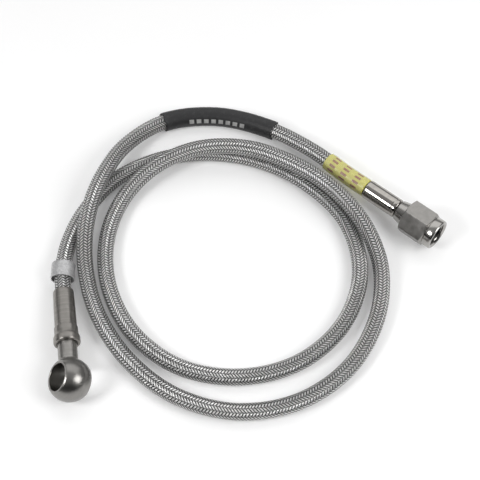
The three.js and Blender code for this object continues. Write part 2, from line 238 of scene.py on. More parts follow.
# The dashes on the sleeve and the bars on the label, all plain marks with soft edges. The
# dashes' place round the hose is a share of a turn, and the bars' is millimetres of girth.
MARK_EDGE = 0.12
DASHES = 8
DASH_START = 11
DASH_PITCH = 3.15
DASH_LENGTH = 2.1
DASH_WIDTH = 1.9
DASH_PLACE = 0.065
ROWS = 3
ROW_START = 2.4
ROW_PITCH = 5.7
ROW_HEIGHT = 2.9
BARS = 4
BAR_START = 0.6
BAR_PITCH = 2.1
BAR_WIDTH = 1.15

# Where most of a noise's values lie, and the Mix node's sockets by number, because its
# colours share their names with its other kinds.
NOISE_LOW, NOISE_HIGH = 0.3, 0.7
MIX_SHARE, MIX_LOW, MIX_HIGH, MIX_RESULT = 0, 6, 7, 2

# Steel: how dark the lines from turning and the broader bands are and how much of them shows,
# the painted shade inside the nut's thread, and the shade and the roughness of parts turned
# bright.
LINED_SHARE = 0.35
LINED_SHADE = 0.62
BANDED_SHARE = 0.6
BANDED_SHADE = 0.66
PAINTED_INSIDE_SHADE = 0.3
BRIGHT_SHADE = 1.2
BRIGHT_ROUGHNESS = 0.6
SPECK_DEPTH = 0.003

# The crests between which the braid goes from the painted shade of the gaps to the wire's colour.
LIT_CRESTS = (0.6, 0.86)

# The floor, in metres, just under the hose.
FLOOR_HALF = 4.0
FLOOR_HEIGHT = -0.02 * MM

# The lamps: where each hangs over the floor's middle, and its size. The back one is wider.
SIDE_LAMP_PLACE = (390, -160, 380)
SIDE_LAMP_SIZE = 320
LEFT_LAMP_PLACE = (-370, -180, 390)
LEFT_LAMP_SIZE = 180
BACK_LAMP_PLACE = (60, 600, 680)
BACK_LAMP_SIZE = 800
BACK_LAMP_WIDTH = 1500

# Where the surroundings are brightest: up and behind, as in front of a white sweep.
BRIGHT_SIDE = (0.0, 0.6, 0.8)


class HoseSizes(bpy.types.PropertyGroup):
    braid_columns: bpy.props.IntProperty(
        name="Braid columns",
        description="Columns of wire bundles around the hose, half leaning each way",
        default=12,
        min=4,
        max=24,
    )
    braid_rows: bpy.props.IntProperty(
        name="Braid rows",
        description="Wire bundles in each column along the whole hose",
        default=760,
        min=100,
        max=900,
    )
    braid_relief: bpy.props.FloatProperty(
        name="Braid relief",
        description="Height of a wire bundle over the gaps beside it",
        default=0.14 * MM,
        min=0.0,
        unit="LENGTH",
        precision=5,
    )
    thread_depth: bpy.props.FloatProperty(
        name="Thread depth",
        description="Depth of the thread inside the nut",
        default=THREAD_DEPTH * MM,
        min=0.0,
        unit="LENGTH",
        precision=5,
    )


class HoseColours(bpy.types.PropertyGroup):
    wire: bpy.props.FloatVectorProperty(
        name="Wire",
        description="Bright stainless wire of the braid",
        subtype="COLOR",
        default=(1.0, 0.995, 0.98),
        min=0,
        max=1,
    )
    # Painted shade: a near-black colour that stands for the shade deep between the wire bundles.
    gap: bpy.props.FloatVectorProperty(
        name="Gap",
        description="Depth between the wire bundles",
        subtype="COLOR",
        default=(0.012, 0.0115, 0.011),
        min=0,
        max=1,
    )
    steel: bpy.props.FloatVectorProperty(
        name="Steel",
        description="Plated steel of the banjo and the nut",
        subtype="COLOR",
        default=(0.34, 0.33, 0.315),
        min=0,
        max=1,
    )
    collar: bpy.props.FloatVectorProperty(
        name="Collar",
        description="Turned steel of the two crimped collars",
        subtype="COLOR",
        default=(0.42, 0.4, 0.375),
        min=0,
        max=1,
    )
    tag: bpy.props.FloatVectorProperty(
        name="Tag",
        description="Rough pale metal of the loose ring",
        subtype="COLOR",
        default=(0.56, 0.56, 0.565),
        min=0,
        max=1,
    )
    sleeve: bpy.props.FloatVectorProperty(
        name="Sleeve",
        description="Black shrink sleeve",
        subtype="COLOR",
        default=(0.017, 0.017, 0.018),
        min=0,
        max=1,
    )
    label: bpy.props.FloatVectorProperty(
        name="Label",
        description="Yellow film of the label",
        subtype="COLOR",
        default=(0.58, 0.545, 0.1),
        min=0,
        max=1,
    )
    dash: bpy.props.FloatVectorProperty(
        name="Dash",
        description="Pale ink of the dashes on the sleeve",
        subtype="COLOR",
        default=(0.52, 0.52, 0.51),
        min=0,
        max=1,
    )
    ink: bpy.props.FloatVectorProperty(
        name="Ink",
        description="Brown ink of the bars on the label",
        subtype="COLOR",
        default=(0.22, 0.035, 0.02),
        min=0,
        max=1,
    )


class StudioSettings(bpy.types.PropertyGroup):
    camera_elevation: bpy.props.FloatProperty(
        name="Camera elevation",
        description="Height of the camera over the floor, as an angle",
        subtype="ANGLE",
        default=math.radians(61),
    )
    camera_distance: bpy.props.FloatProperty(
        name="Camera distance",
        description="Distance from the camera to what it looks at",
        default=450 * MM,
        unit="LENGTH",
    )
    camera_target: bpy.props.FloatVectorProperty(
        name="Camera target",
        description="Point that the camera looks at",
        subtype="TRANSLATION",
        default=(-3.7 * MM, 7.5 * MM, 0.0),
    )
    camera_lens: bpy.props.FloatProperty(
        name="Lens",
        description="Focal length on a 36 mm wide sensor, in millimetres",
        default=86.25,
    )
    front_level: bpy.props.FloatProperty(
        name="Front level",
        description="Brightness of the surroundings in front",
        default=0.02,
        min=0,
        max=1,
    )
    back_level: bpy.props.FloatProperty(
        name="Back level",
        description="Brightness of the surroundings up behind",
        default=0.5,
        min=0,
        max=1,
    )
    side_power: bpy.props.FloatProperty(
        name="Side lamp",
        description="Power of the soft lamp at the right, in front",
        default=1.7,
        unit="POWER",
    )
    back_power: bpy.props.FloatProperty(
        name="Back lamp",
        description="Power of the wide lamp over the back",
        default=3.0,
        unit="POWER",
    )
    left_power: bpy.props.FloatProperty(
        name="Left lamp",
        description="Power of the soft lamp at the left, in front",
        default=1.3,
        unit="POWER",
    )
    paper_glow: bpy.props.FloatProperty(
        name="Paper glow",
        description="Light that the floor gives off to the camera and to shiny metal",
        default=0.15,
        min=0,
        max=1,
    )


def heading(turn, rise):
    """Unit vector from its heading around the vertical and its rise above level."""
    turn, rise = math.radians(turn), math.radians(rise)
    return np.array(
        [
            math.cos(rise) * math.cos(turn),
            math.cos(rise) * math.sin(turn),
            math.sin(rise),
        ]
    )


def smooth_curve(points):
    """Centripetal Catmull-Rom curve: each span is the cubic whose end slopes come from
    the parabolas through its neighbours, timed by the root of their distances."""
    first = 2 * points[0] - points[1]
    last = 2 * points[-1] - points[-2]
    near = np.vstack([first, points, last])
    p0, p1, p2, p3 = near[:-3], near[1:-2], near[2:-1], near[3:]
    d0, d1, d2 = (
        np.sqrt(np.linalg.norm(b - a, axis=1))[:, None]
        for a, b in ((p0, p1), (p1, p2), (p2, p3))
    )
    leave = ((p1 - p0) / d0 - (p2 - p0) / (d0 + d1) + (p2 - p1) / d1) * d1
    reach = ((p2 - p1) / d1 - (p3 - p1) / (d1 + d2) + (p3 - p2) / d2) * d1
    square = -3 * p1 + 3 * p2 - 2 * leave - reach
    cube = 2 * p1 - 2 * p2 + leave + reach
    t = (np.arange(SPAN_STEPS) / SPAN_STEPS)[None, :, None]
    spans = (
        p1[:, None]
        + leave[:, None] * t
        + square[:, None] * t**2
        + cube[:, None] * t**3
    )
    return np.vstack([spans.reshape(-1, 3), points[-1]])


class Route:
    """The hose's centreline in millimetres, read by its length from the banjo end."""

    def __init__(self):
        banjo = heading(BANJO_HEADING, BANJO_RISE)
        nut = heading(NUT_HEADING, NUT_RISE)
        starts = (
            BANJO_HOSE_END,
            BANJO_COLLAR_END - STRAIGHT_INSIDE,
            BANJO_COLLAR_END + STRAIGHT_OUTSIDE,
        )
        ends = (-STRAIGHT_INSIDE, -STRAIGHT_OUTSIDE, NUT_HOSE_END)
        points = [BALL_CENTRE + banjo * height for height in starts]
        points += [np.array(point) for point in LAY]
        points += [NUT_COLLAR_END + nut * height for height in ends]
        self.line = smooth_curve(np.array(points))
        steps = np.linalg.norm(np.diff(self.line, axis=0), axis=1)
        self.lengths = np.concatenate([[0.0], np.cumsum(steps)])
        self.length = self.lengths[-1]
        self.slopes = np.gradient(self.line, self.lengths, axis=0)

    def read(self, values, places):
        """Values held at the line's points, in proportion between them at each length."""
        columns = [np.interp(places, self.lengths, values[:, i]) for i in range(3)]
        return np.stack(columns, axis=-1)

    def axes(self, places):
        """Centre, side and up at each length: side is level, and both are square to the line."""
        centre = self.read(self.line, places)
        along = self.read(self.slopes, places)
        side = np.cross(along, UP)
        side /= np.linalg.norm(side, axis=-1, keepdims=True)
        up = np.cross(side, along)
        up /= np.linalg.norm(up, axis=-1, keepdims=True)
        return centre, side, up

    def shell(self, places, angles, radii):
        """Points at an angle round the line and a radius from it, all arrays of one shape."""
        centre, side, up = self.axes(places)
        across = np.cos(angles)[..., None] * side + np.sin(angles)[..., None] * up
        return centre + across * np.asarray(radii)[..., None]


class Bench:
    """A place to turn pieces on: an origin, the axis along Y, and Z as near up as it can be."""

    def __init__(self, origin, direction):
        side = np.cross(direction, UP)
        side /= np.linalg.norm(side)
        self.origin = origin
        self.rows = np.array([side, direction, np.cross(side, direction)])

    def place(self, points):
        """Points of the bench as points of the frame."""
        return self.origin + points @ self.rows


route = Route()
banjo_bench = Bench(BALL_CENTRE, heading(BANJO_HEADING, BANJO_RISE))
nut_bench = Bench(NUT_COLLAR_END, heading(NUT_HEADING, NUT_RISE))


def grid_piece(name, points, chart, body, marks=None, sharp=None):
    """A closed ring of quads over points[row, column], whose rows and columns both close.
    chart is the UV map at the grid's corners, marks are values at the points, and an edge
    that turns by more than sharp degrees stays crisp."""
    rows, columns = points.shape[:2]
    row, column = np.meshgrid(np.arange(rows), np.arange(columns), indexing="ij")
    after_row, after_column = (row + 1) % rows, (column + 1) % columns
    corners = [
        row * columns + column,
        row * columns + after_column,
        after_row * columns + after_column,
        after_row * columns + column,
    ]
    uv = [chart[:-1, :-1], chart[:-1, 1:], chart[1:, 1:], chart[1:, :-1]]
    flat = points.reshape(-1, 3)
    a, b, c, d = (flat[corner] for corner in corners)
    volume = np.sum(a * np.cross(b, c)) + np.sum(a * np.cross(c, d))
    if volume < 0:
        corners, uv = corners[::-1], uv[::-1]
    faces = np.stack(corners, axis=-1).reshape(-1, 4)
    mesh = bpy.data.meshes.new(name)
    mesh.vertices.add(rows * columns)
    mesh.vertices.foreach_set("co", (flat * MM).astype(np.float32).ravel())
    mesh.loops.add(faces.size)
    mesh.loops.foreach_set("vertex_index", faces.ravel().astype(np.int32))
    mesh.polygons.add(len(faces))
    mesh.polygons.foreach_set("loop_start", np.arange(0, faces.size, 4, dtype=np.int32))
    layer = mesh.uv_layers.new(name="lay")
    layer.data.foreach_set("uv", np.stack(uv, axis=2).astype(np.float32).ravel())
    for mark, values in (marks or {}).items():
        attribute = mesh.attributes.new(name=mark, type="FLOAT", domain="POINT")
        attribute.data.foreach_set("value", values.astype(np.float32).ravel())
    mesh.update(calc_edges=True)
    if mesh.validate():
        raise RuntimeError(f"{name}: the surface has faulty faces")
    mesh.shade_smooth()
    if sharp is not None:
        mesh.set_sharp_from_angle(angle=math.radians(sharp))
    piece = bpy.data.objects.new(name, mesh)
    bpy.context.scene.collection.objects.link(piece)
    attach(piece, body)
    return piece


def closed_chart(along, across=1.0):
    """UV at the corners of a grid that closes both ways: u runs round the piece from 0 to
    across, and v is along[row, column], which comes back to its first values at the end."""
    rows, columns = along.shape
    closed_rows = np.vstack([along, along[:1]])
    v = np.hstack([closed_rows, closed_rows[:, :1]])
    u = np.linspace(0, across, columns + 1)[None, :].repeat(rows + 1, axis=0)
    return np.stack([u, v], axis=-1)


def column_angles(columns):
    """The angle of each column of a closed grid: equal shares of a turn, from 0 on."""
    return np.arange(columns) / columns * TURN


def rounded(section, radius):
    """The closed section with each corner replaced by a short parabola that starts and ends
    radius away from it, or a share of the shorter side where that is less."""
    points = np.array(section, float)
    before, after = np.roll(points, 1, axis=0), np.roll(points, -1, axis=0)
    back, on = before - points, after - points
    size_back = np.linalg.norm(back, axis=1, keepdims=True)
    size_on = np.linalg.norm(on, axis=1, keepdims=True)
    cut = np.minimum(radius, CORNER_SHARE * np.minimum(size_back, size_on))
    start = points + back / size_back * cut
    end = points + on / size_on * cut
    t = np.linspace(0, 1, CORNER_STEPS + 1)[None, :, None]
    curve = start[:, None] * (1 - t) ** 2 + points[:, None] * 2 * t * (1 - t) + end[:, None] * t**2
    return curve.reshape(-1, 2)


def round_rows(section, columns):
    """Radii and heights over a grid for a section that is the same all round."""
    section = np.asarray(section)
    radii = np.repeat(section[:, :1], columns, axis=1)
    heights = np.repeat(section[:, 1:], columns, axis=1)
    return radii, heights


def lathe_piece(name, radii, heights, bench, body, roll=0, marks=None, sharp=None):
    """A ring turned about the bench's axis: the point of row i and column j has radius
    radii[i, j] and height heights[i, j], at its column's angle plus roll degrees."""
    angles = column_angles(radii.shape[1]) + math.radians(roll)
    local = np.stack([radii * np.cos(angles), heights, radii * np.sin(angles)], axis=-1)
    return grid_piece(name, bench.place(local), closed_chart(heights), body, marks, sharp)


def tree_of(name):
    """A new material, its node tree and its Principled shader."""
    material = bpy.data.materials.new(name)
    material.use_nodes = True
    tree = material.node_tree
    shader = next(node for node in tree.nodes if node.type == "BSDF_PRINCIPLED")
    return material, tree, shader


def plug(tree, node, sources):
    """Feed the node's inputs, by name or number, each from an output or with a plain value."""
    for socket, source in sources.items():
        if isinstance(source, bpy.types.NodeSocket):
            tree.links.new(source, node.inputs[socket])
        else:
            node.inputs[socket].default_value = source


def add_node(tree, kind, sources=None, **values):
    """A new node of that kind, with its own settings as values and its inputs fed."""
    node = tree.nodes.new(kind)
    for name, value in values.items():
        setattr(node, name, value)
    plug(tree, node, sources or {})
    return node


def chart_output(tree, scale=(1.0, 1.0, 1.0)):
    """The piece's own UV map, stretched by scale."""
    chart = add_node(tree, "ShaderNodeUVMap", uv_map="lay")
    mapping = add_node(tree, "ShaderNodeMapping", {"Vector": chart.outputs["UV"], "Scale": scale})
    return mapping.outputs["Vector"]


def chart_axes(tree):
    """The piece's own UV map as two values: the place round it and the place along it."""
    axes = add_node(tree, "ShaderNodeSeparateXYZ", {"Vector": chart_output(tree)})
    return axes.outputs["X"], axes.outputs["Y"]


def object_output(tree):
    """The place on the object, in metres."""
    return add_node(tree, "ShaderNodeTexCoord").outputs["Object"]


def mark_output(tree, name):
    """The value that the piece's points carry under that name, or none where they lack it."""
    return add_node(tree, "ShaderNodeAttribute", attribute_name=name).outputs["Fac"]


def noise_output(tree, vector, scale, detail=4.0, roughness=0.55):
    """Noise over the vector, with that many waves to its unit."""
    noise = add_node(
        tree,
        "ShaderNodeTexNoise",
        {"Vector": vector, "Scale": scale, "Detail": detail, "Roughness": roughness},
    )
    return noise.outputs["Fac"]


def ranged(tree, value, low, high, to_low=0.0, to_high=1.0):
    """The value moved in proportion from one range to another, and held at its ends."""
    sources = {
        "Value": value,
        "From Min": low,
        "From Max": high,
        "To Min": to_low,
        "To Max": to_high,
    }
    return add_node(tree, "ShaderNodeMapRange", sources).outputs["Result"]


def spread(tree, noise, to_low=0.0, to_high=1.0):
    """The middle of a noise, where most of it lies, stretched over a whole range."""
    return ranged(tree, noise, NOISE_LOW, NOISE_HIGH, to_low, to_high)


def blended(tree, share, low, high):
    """A colour between two others, each a colour or the output of a node."""
    ends = [end if isinstance(end, bpy.types.NodeSocket) else (*end, 1.0) for end in (low, high)]
    sources = {MIX_SHARE: share, MIX_LOW: ends[0], MIX_HIGH: ends[1]}
    return add_node(tree, "ShaderNodeMix", sources, data_type="RGBA").outputs[MIX_RESULT]


def math_output(tree, operation, first, second=0.0):
    """The result of one operation on two values."""
    return add_node(tree, "ShaderNodeMath", {0: first, 1: second}, operation=operation).outputs[0]


def bumped(tree, shader, height, depth, under=None):
    """Let a height from none to one, depth millimetres deep, tilt the shader's surface."""
    sources = {"Height": height, "Distance": depth * MM}
    if under is not None:
        sources["Normal"] = under
    bump = add_node(tree, "ShaderNodeBump", sources)
    plug(tree, shader, {"Normal": bump.outputs["Normal"]})
    return bump.outputs["Normal"]


def shade(colour, factor):
    """The colour made darker or paler by a factor, at most white."""
    return tuple(min(1.0, channel * factor) for channel in colour)


def steel_finish(name, colour, roughness, line_scale, line_depth, mottle=0.12, stretch=0.0):
    """Plated steel: fine lines from turning round the axis, and a soft mottle in tone and gloss.
    stretch draws its highlights out across those lines. Faces marked as inside are darkened
    with painted shade, and those marked as bright are turned smoother than the rest."""
    material, tree, shader = tree_of(name)
    place = object_output(tree)
    lines = noise_output(tree, chart_output(tree, (0.6, line_scale, 1.0)), 1.0, 3.0, 0.6)
    bands = noise_output(tree, chart_output(tree, (0.4, 0.9, 1.0)), 1.0, 2.0, 0.6)
    cloud = noise_output(tree, place, 420.0, 3.0)
    specks = noise_output(tree, place, 2600.0, 2.0)
    base = blended(tree, spread(tree, cloud), shade(colour, 1 - mottle), shade(colour, 1 + mottle))
    lined = math_output(tree, "MULTIPLY", ranged(tree, lines, 0.35, 0.7), LINED_SHARE)
    base = blended(tree, lined, base, shade(colour, LINED_SHADE))
    banded = ranged(tree, bands, 0.4, 0.65, 0.0, stretch * BANDED_SHARE)
    base = blended(tree, banded, base, shade(colour, BANDED_SHADE))
    # Painted shade: points marked inside, in the nut's thread, darken as shade in the bore.
    base = blended(tree, mark_output(tree, "inside"), base, shade(colour, PAINTED_INSIDE_SHADE))
    bright = mark_output(tree, "bright")
    base = blended(tree, bright, base, shade(colour, BRIGHT_SHADE))
    duller, glossier = roughness * (1 + 1.5 * mottle), roughness * (1 - mottle)
    smoother = ranged(tree, bright, 0.0, 1.0, 1.0, BRIGHT_ROUGHNESS)
    rough = math_output(tree, "MULTIPLY", spread(tree, cloud, glossier, duller), smoother)
    plug(tree, shader, {"Metallic": 1.0, "Base Color": base, "Roughness": rough})
    under = bumped(tree, shader, lines, line_depth)
    bumped(tree, shader, specks, SPECK_DEPTH, under=under)
    if stretch:
        round_axis = add_node(tree, "ShaderNodeTangent", direction_type="UV_MAP", uv_map="lay")
        tangent = round_axis.outputs["Tangent"]
        sources = {"Tangent": tangent, "Anisotropic": stretch, "Anisotropic Rotation": 0.25}
        plug(tree, shader, sources)
    return material


def braid_finish(colours):
    """Bright wire on the crests of the bundles and painted shade between them, with the
    single wires of each bundle as fine ridges along it, and painted shade in the grooves between
    them."""
    material, tree, shader = tree_of("braid_wire")
    place = object_output(tree)
    _, across_bundle = chart_axes(tree)
    ridges = math_output(tree, "MULTIPLY", across_bundle, TURN * WIRES_A_BUNDLE)
    wire_wave = math_output(tree, "SINE", ridges)
    cloud = noise_output(tree, place, 160.0, 3.0)
    bundle = noise_output(tree, place, 900.0, 2.0)
    wire = colours.wire
    bright = blended(tree, spread(tree, cloud), shade(wire, 0.84), shade(wire, 1.1))
    bright = blended(tree, ranged(tree, bundle, 0.35, 0.65), bright, shade(wire, 0.78))
    # Painted shade: the wire's colour darkens in the grooves between the single wires.
    bright = blended(tree, ranged(tree, wire_wave, -1.0, -0.2), shade(wire, 0.72), bright)
    # Painted shade: low crests, between the bundles, take the near-black gap colour.
    depth = ranged(tree, mark_output(tree, "crest"), *LIT_CRESTS)
    sources = {
        "Metallic": 0.8,
        "Base Color": blended(tree, depth, tuple(colours.gap), bright),
        "Roughness": spread(tree, bundle, 0.28, 0.4),
    }
    plug(tree, shader, sources)
    bumped(tree, shader, wire_wave, 0.03)
    return material


def liner_finish():
    """Pale slippery plastic with a faint grain."""
    material, tree, shader = tree_of("liner_plastic")
    grain = noise_output(tree, object_output(tree), 700.0)
    base = blended(tree, grain, (0.78, 0.77, 0.72), (0.86, 0.85, 0.81))
    plug(tree, shader, {"Base Color": base, "Roughness": 0.4})
    bumped(tree, shader, grain, 0.01)
    return material


def tag_finish(colours):
    """Pale rolled metal with a mottled, lightly pitted skin."""
    material, tree, shader = tree_of("tag_metal")
    place = object_output(tree)
    cloud = noise_output(tree, place, 1100.0, 4.0, 0.65)
    pits = noise_output(tree, place, 3000.0, 2.0)
    base = blended(tree, spread(tree, cloud), shade(colours.tag, 0.72), shade(colours.tag, 1.15))
    rough = spread(tree, pits, 0.42, 0.62)
    plug(tree, shader, {"Metallic": 0.75, "Base Color": base, "Roughness": rough})
    under = bumped(tree, shader, cloud, 0.06)
    bumped(tree, shader, pits, 0.02, under=under)
    return material


def within(tree, value, low, high):
    """One where the value lies between two limits, easing to none over a mark's soft edge."""
    rise = ranged(tree, value, low - MARK_EDGE, low + MARK_EDGE)
    fall = ranged(tree, value, high - MARK_EDGE, high + MARK_EDGE, 1.0, 0.0)
    return math_output(tree, "MULTIPLY", rise, fall)


def bars(tree, place, start, pitch, count, length):
    """A row of count marks of one length, from start on, at an even pitch: the place past
    the start, less the whole pitches in it, lies within the length of a mark."""
    pitches = math_output(tree, "DIVIDE", math_output(tree, "SUBTRACT", place, start), pitch)
    past = math_output(tree, "MULTIPLY", math_output(tree, "FRACT", pitches), pitch)
    mark = within(tree, past, MARK_EDGE, length)
    row = within(tree, place, start, start + pitch * count)
    return math_output(tree, "MULTIPLY", mark, row)


def sleeve_finish(colours):
    """Black shrink sleeve, satin, with a faint pull along it, dusty wear on its high spots
    and one row of plain pale dashes on the side that faces up."""
    material, tree, shader = tree_of("black_shrink")
    pull = noise_output(tree, chart_output(tree, (26.0, 3.0, 1.0)), 1.0, 4.0)
    dust = noise_output(tree, object_output(tree), 520.0, 5.0, 0.7)
    dusty = ranged(tree, dust, 0.52, 0.78)
    base = blended(tree, dusty, tuple(colours.sleeve), shade(colours.sleeve, 2.3))
    round_share, along = chart_axes(tree)
    girth = math.pi * SLEEVE_DIAMETER
    middle = DASH_PLACE * girth
    round_place = math_output(tree, "MULTIPLY", round_share, girth)
    row = bars(tree, along, DASH_START, DASH_PITCH, DASHES, DASH_LENGTH)
    band = within(tree, round_place, middle - DASH_WIDTH / 2, middle + DASH_WIDTH / 2)
    dashes = math_output(tree, "MULTIPLY", row, band)
    worn = math_output(tree, "MULTIPLY", dashes, ranged(tree, dust, 0.3, 0.6, 0.9, 0.6))
    base = blended(tree, worn, base, tuple(colours.dash))
    plug(tree, shader, {"Base Color": base, "Roughness": spread(tree, pull, 0.42, 0.62)})
    under = bumped(tree, shader, pull, 0.05)
    bumped(tree, shader, dust, 0.015, under=under)
    return material


def label_finish(colours):
    """Yellow film with three rows of plain brown bars across it."""
    material, tree, shader = tree_of("yellow_film")
    grain = noise_output(tree, object_output(tree), 800.0, 3.0)
    paler, deeper = shade(colours.label, 1.05), shade(colours.label, 0.93)
    film = blended(tree, spread(tree, grain), deeper, paler)
    round_share, along = chart_axes(tree)
    girth = TURN * (LABEL_INNER_RADIUS + LABEL_THICKNESS)
    round_place = math_output(tree, "MULTIPLY", round_share, girth)
    rows = bars(tree, along, ROW_START, ROW_PITCH, ROWS, ROW_HEIGHT)
    marks = bars(tree, round_place, BAR_START, BAR_PITCH, BARS, BAR_WIDTH)
    ink = math_output(tree, "MULTIPLY", rows, marks)
    ink = math_output(tree, "MULTIPLY", ink, ranged(tree, grain, 0.3, 0.6, 0.85, 1.0))
    inked = blended(tree, ink, film, tuple(colours.ink))
    plug(tree, shader, {"Base Color": inked, "Roughness": 0.45})
    bumped(tree, shader, grain, 0.01)
    return material


def film_finish():
    """Clear shrink film: a faint pale haze with a wet gloss."""
    material, tree, shader = tree_of("clear_shrink")
    haze = noise_output(tree, chart_output(tree, (8.0, 2.0, 1.0)), 1.0, 3.0)
    base = blended(tree, haze, (0.86, 0.85, 0.72), (0.93, 0.92, 0.84))
    plug(tree, shader, {"Base Color": base, "Roughness": 0.12, "Alpha": 0.08})
    bumped(tree, shader, haze, 0.04)
    return material


def settings(context):
    """The user's sizes, colours and stage settings."""
    scene = context.scene
    return scene.hose_sizes, scene.hose_colours, scene.hose_studio


def braid_surface(sizes):
    """Radius over a sheared grid: each column of bundles leans the other way from the next,
    and across a bundle its back is a power of a half sine wave, held to one height at the
    column's edge. Rows zigzag along the bundles, so every bundle's edge lies on the grid."""
    columns = sizes.braid_columns * STEPS_ROUND
    rows = sizes.braid_rows * STEPS_ACROSS
    row = np.arange(rows + 1)[:, None]
    column = np.arange(columns)[None, :]
    part = (column % STEPS_ROUND) / STEPS_ROUND
    leaning = (column // STEPS_ROUND) % 2
    zigzag = np.where(leaning == 0, part - 0.5, 0.5 - part)
    pitch = route.length / (sizes.braid_rows + 1)
    places = (row / STEPS_ACROSS + 0.5 + zigzag) * pitch
    phase = ((row + STEPS_ACROSS // 2 * leaning) % STEPS_ACROSS) / STEPS_ACROSS
    dome = np.sin(np.pi * phase) ** DOME_POWER
    crest = np.where(part == 0, EDGE_CREST, dome)
    radius = HOSE_DIAMETER / 2 - sizes.braid_relief / MM * (1 - crest)
    angles = column_angles(columns) + np.zeros_like(places)
    return places, angles, radius, crest


class BuildBraid(bpy.types.Operator):
    """Weave the hose's wire braid along its whole lay and give the liner in it its finish"""

    bl_idname = "hose.build_braid"
    bl_label = "Braid"

    def execute(self, context):
        sizes, colours, _ = settings(context)
        places, angles, radii, crest = braid_surface(sizes)
        rows, columns = places.shape
        inner_rows = HOSE_STEPS + 1
        inner_places = np.linspace(route.length, 0, inner_rows)[:, None] + np.zeros((1, columns))
        inner_radii = np.full((inner_rows, columns), HOSE_DIAMETER / 2 - BRAID_THICKNESS)
        inner_angles = np.repeat(angles[:1], inner_rows, axis=0)
        outer = route.shell(places, angles, radii)
        inner = route.shell(inner_places, inner_angles, inner_radii)
        points = np.concatenate([outer, inner])
        marks = {"crest": np.concatenate([crest, np.zeros((inner_rows, columns))])}
        bundles = np.concatenate([np.arange(rows), np.full(inner_rows, rows)]) / STEPS_ACROSS
        chart = closed_chart(bundles[:, None] + np.zeros((1, columns)), sizes.braid_columns)
        piece = grid_piece("braided_hose", points, chart, "hose", marks)
        piece.data.materials.append(braid_finish(colours))
        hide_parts("braid_cover")
        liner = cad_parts["hose_liner"]
        liner.data.materials.clear()
        liner.data.materials.append(liner_finish())
        return {"FINISHED"}


def eye_section():
    """Closed section of the eye about its bore: ball outside, flat faces, chamfers and bore."""
    ball, half = EYE_DIAMETER / 2, EYE_WIDTH / 2
    bore = EYE_BORE / 2
    edge = math.acos(half / ball)
    sweep = np.linspace(edge, math.pi - edge, EYE_STEPS + 1)
    outside = [(ball * math.sin(a), -ball * math.cos(a)) for a in sweep]
    first, last = outside[0], outside[-1]
    outside[0] = (first[0] + EYE_RIM * 0.2, first[1] + EYE_RIM)
    outside[-1] = (last[0] + EYE_RIM * 0.2, last[1] - EYE_RIM)
    return [
        (bore, -half + EYE_CHAMFER),
        (bore + EYE_CHAMFER * 0.6, -half + EYE_CHAMFER * 0.3),
        (bore + EYE_CHAMFER, -half),
        (first[0] - EYE_RIM, -half),
        *outside,
        (last[0] - EYE_RIM, half),
        (bore + EYE_CHAMFER, half),
        (bore + EYE_CHAMFER * 0.6, half - EYE_CHAMFER * 0.3),
        (bore, half - EYE_CHAMFER),
        (bore, half * 0.5),
        (bore, 0.0),
        (bore, -half * 0.5),
    ]


def eye_grid():
    """Points and UV of the eye: its section turned about the bore, which lies across the
    bench, and then tilted about the bench's axis."""
    radii, heights = round_rows(eye_section(), EYE_COLUMNS)
    angles = column_angles(EYE_COLUMNS)
    along, up = radii * np.cos(angles), radii * np.sin(angles)
    level, steep = math.cos(math.radians(EYE_TILT)), math.sin(math.radians(EYE_TILT))
    local = np.stack([heights * level + up * steep, along, up * level - heights * steep], axis=-1)
    return banjo_bench.place(local), closed_chart(heights)


def neck_section():
    """Closed section of the neck: a fillet that leaves the ball as a parabola, the neck, its
    shoulder, the spigot in the collar and the tail inside the hose."""
    ball, neck = EYE_DIAMETER / 2, NECK_DIAMETER / 2
    foot = neck + NECK_FILLET
    seat = math.sqrt(ball**2 - foot**2)
    start = np.array([foot, seat])
    corner = np.array([neck, math.sqrt(ball**2 - neck**2)])
    end = corner + [0, NECK_FILLET]
    t = np.linspace(0, 1, FILLET_STEPS + 1)[:, None]
    fillet = start * (1 - t) ** 2 + corner * 2 * t * (1 - t) + end * t**2
    bore, spigot, tail = FLUID_BORE / 2, SPIGOT_DIAMETER / 2, TAIL_DIAMETER / 2
    root, tip = EYE_BORE / 2 + NECK_ROOT, BANJO_LIP_END + TAIL_LENGTH
    return [
        (bore, root),
        (neck, root),
        (foot - 0.4, seat - 0.3),
        *fillet,
        (neck, BANJO_SHOULDER - NECK_CHAMFER),
        (neck - NECK_CHAMFER, BANJO_SHOULDER),
        (spigot, BANJO_SHOULDER),
        (spigot, BANJO_LIP_END),
        (tail, BANJO_LIP_END),
        (tail, tip),
        (bore, tip),
    ]


def drill_through(piece, bench, radius, start, end):
    """Cut a round hole in the piece along the bench's axis, from one height to another."""
    count = DRILL_SIDES
    angles = column_angles(count)
    rim = np.stack([radius * np.cos(angles), np.zeros(count), radius * np.sin(angles)], axis=-1)
    points = bench.place(np.concatenate([rim + [0, start, 0], rim + [0, end, 0]])) * MM
    sides = [(i, (i + 1) % count, (i + 1) % count + count, i + count) for i in range(count)]
    ends = [tuple(range(count - 1, -1, -1)), tuple(range(count, 2 * count))]
    mesh = bpy.data.meshes.new("drill")
    mesh.from_pydata(points.tolist(), [], sides + ends)
    drill = bpy.data.objects.new("drill", mesh)
    bpy.context.scene.collection.objects.link(drill)
    cut = piece.modifiers.new("drilling", "BOOLEAN")
    cut.operation = "DIFFERENCE"
    cut.solver = "EXACT"
    cut.object = drill
    bpy.context.view_layer.update()
    graph = bpy.context.evaluated_depsgraph_get()
    result = bpy.data.meshes.new_from_object(piece.evaluated_get(graph))
    piece.modifiers.clear()
    piece.data = result
    bpy.data.objects.remove(drill)


